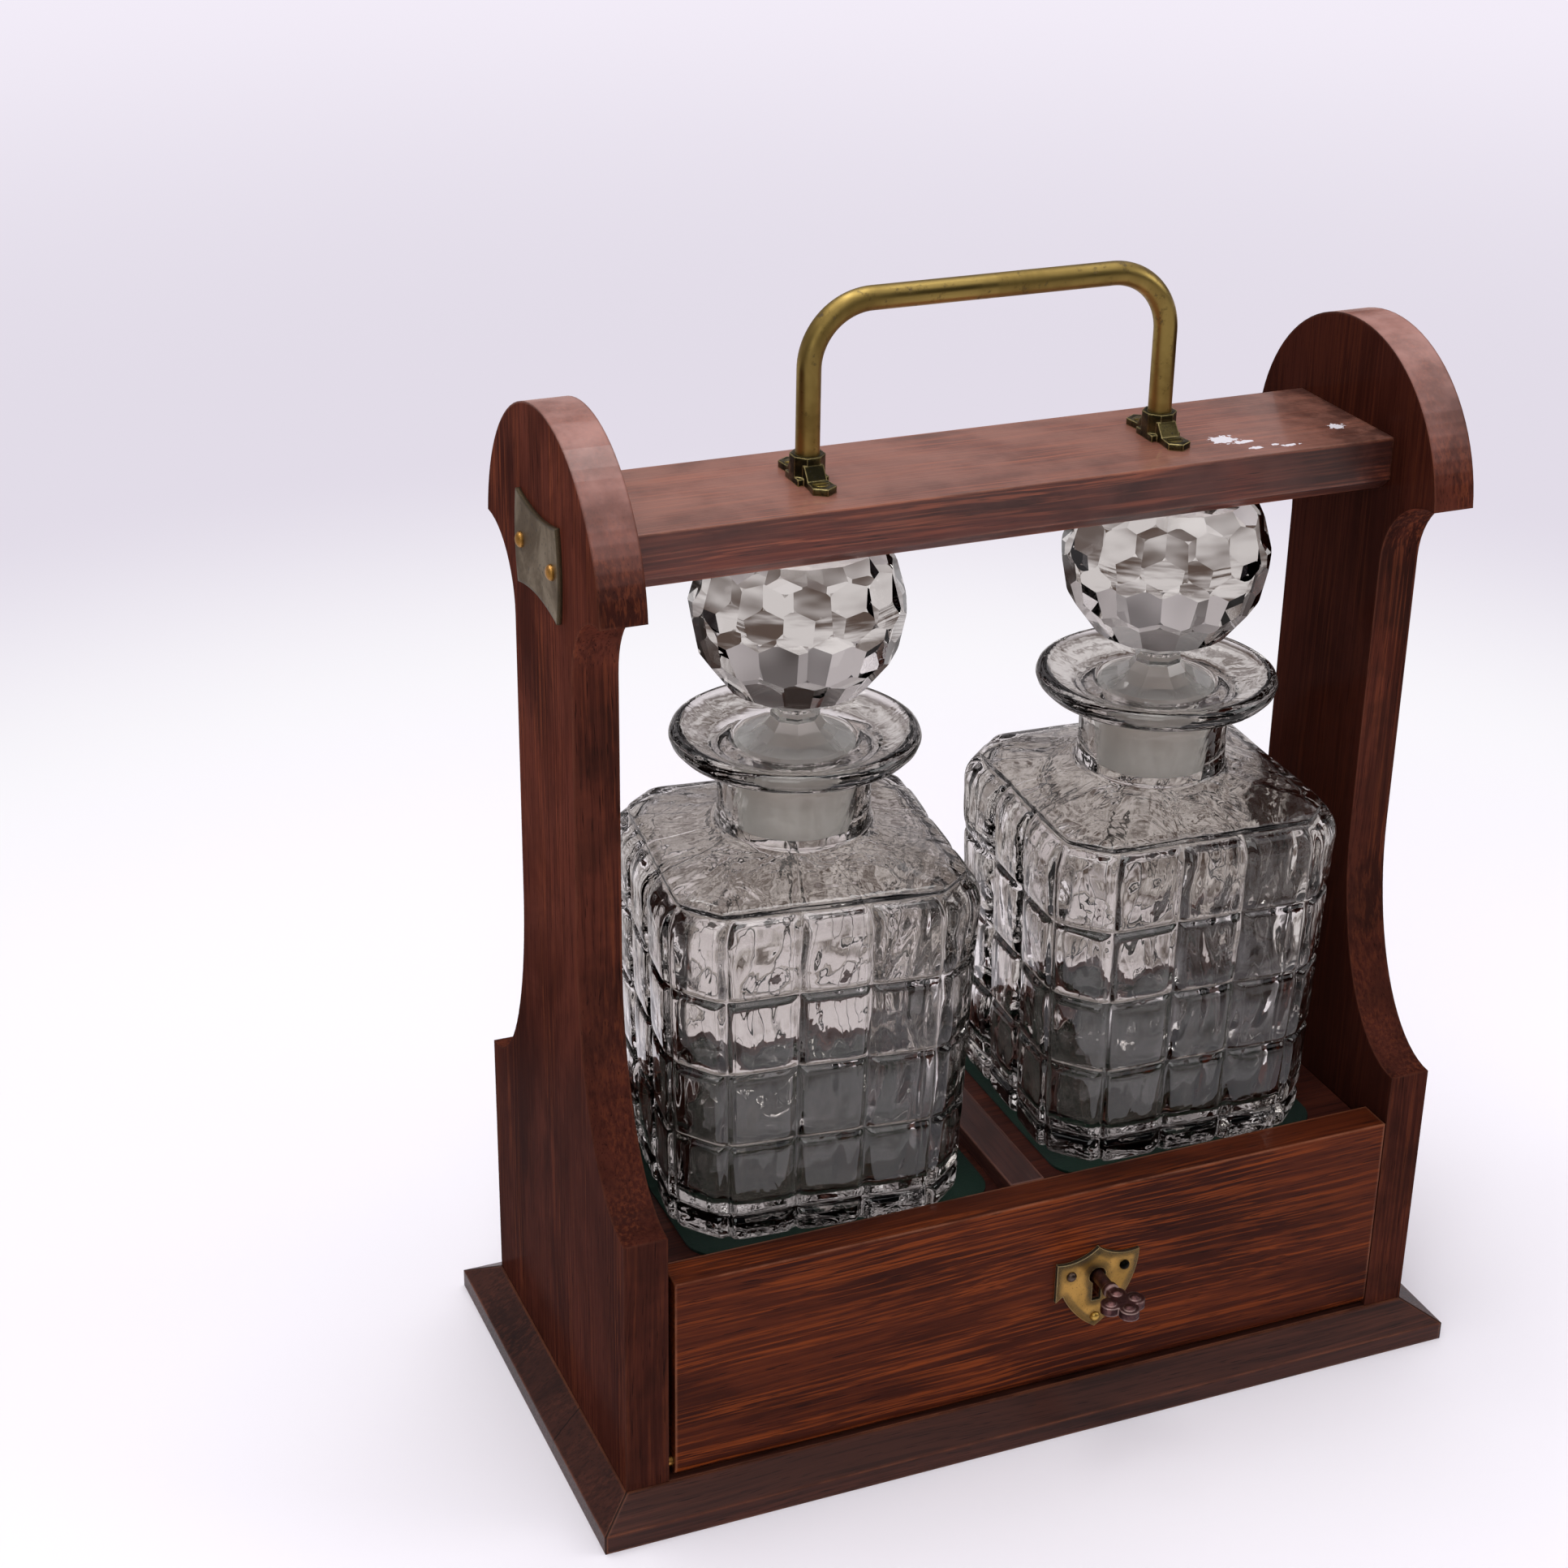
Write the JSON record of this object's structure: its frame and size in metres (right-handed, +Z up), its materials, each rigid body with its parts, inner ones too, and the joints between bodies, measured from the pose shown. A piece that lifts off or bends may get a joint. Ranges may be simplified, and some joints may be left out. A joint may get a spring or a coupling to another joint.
{
  "type": "tantalus",
  "caption": "Locking wooden stand for cut-glass decanters, with a carrying handle, a bar over the stoppers and a hinged, locked front flap.",
  "frame": {"origin": "middle of the base's underside, under the middle of the end panels", "axes": "+Z up, -Y towards the front flap, +X to the right as seen from the front"},
  "size_m": [0.2584, 0.1416, 0.3141],
  "materials": {
    "base_wood": "satin french polish, dark mahogany",
    "panel_wood": "satin french polish, mahogany",
    "bar_wood": "glossy french polish, mahogany",
    "case_wood": "satin polish, mahogany",
    "flap_wood": "glossy french polish, streaked mahogany",
    "baize": "matt wool baize",
    "decanter_glass": "clear pressed glass",
    "stopper_glass": "clear cut glass with a ground peg",
    "handle_brass": "worn brass with dark patina",
    "plate_brass": "dull brass",
    "escutcheon_brass": "worn brass with green edges",
    "lock_brass": "dull brass",
    "key_iron": "dark rusted iron",
    "screw_iron": "dark iron"
  },
  "bodies": {
    "carcase": {"base_board": "base_wood", "base_moulding_front": "base_wood", "base_moulding_back": "base_wood", "base_moulding_left": "base_wood", "base_moulding_right": "base_wood", "end_panel_left": "panel_wood", "end_panel_right": "panel_wood", "top_bar": "bar_wood", "back_board": "case_wood", "tray_board": "case_wood", "divider": "case_wood", "tray_baize_left": "baize", "tray_baize_right": "baize", "pivot_pin_left": "lock_brass", "pivot_pin_right": "lock_brass", "handle_rod": "handle_brass", "handle_foot_left": "handle_brass", "handle_foot_right": "handle_brass", "handle_screws": "handle_brass", "end_plate_left": "plate_brass", "end_plate_right": "plate_brass", "end_plate_pins": "plate_brass", "bar_screws": "lock_brass", "base_screws": "screw_iron", "strike_plate": "lock_brass", "strike_screws": "lock_brass"},
    "flap": {"front_flap": "flap_wood", "escutcheon": "escutcheon_brass", "escutcheon_pins": "escutcheon_brass", "lock_plate": "lock_brass", "lock_case": "lock_brass", "lock_screws": "lock_brass"},
    "key": {"key": "key_iron"},
    "bolt": {"lock_bolt": "lock_brass"},
    "decanter_left": {"decanter_left": "decanter_glass"},
    "decanter_right": {"decanter_right": "decanter_glass"},
    "stopper_left": {"stopper_left": "stopper_glass"},
    "stopper_right": {"stopper_right": "stopper_glass"}
  },
  "joints": [
    {"name": "flap_fall", "type": "hinge", "parent": "carcase", "child": "flap", "pos_m": [0, -0.0517, 0.0147], "axis": [1, 0, 0], "range_deg": [0, 62]},
    {"name": "key_turn", "type": "hinge", "parent": "flap", "child": "key", "pos_m": [0.0173, -0.06, 0.0455], "axis": [0, -1, 0], "range_deg": [0, 90]},
    {"name": "bolt_slide", "type": "slide", "parent": "flap", "child": "bolt", "axis": [0, 0, 1], "range_m": [0, 0.0055]},
    {"name": "decanter_left_lift", "type": "slide", "parent": "carcase", "child": "decanter_left", "axis": [0, 0, 1], "range_m": [0, 0.001]},
    {"name": "decanter_right_lift", "type": "slide", "parent": "carcase", "child": "decanter_right", "axis": [0, 0, 1], "range_m": [0, 0.001]},
    {"name": "stopper_left_turn", "type": "hinge", "parent": "decanter_left", "child": "stopper_left", "pos_m": [-0.052, 0, 0.19], "axis": [0, 0, 1], "continuous": true},
    {"name": "stopper_right_turn", "type": "hinge", "parent": "decanter_right", "child": "stopper_right", "pos_m": [0.055, 0, 0.19], "axis": [0, 0, 1], "continuous": true}
  ],
  "couplings": [
    {"joint": "key_turn", "follows": "bolt_slide", "rad_per_m": 285.59}
  ]
}
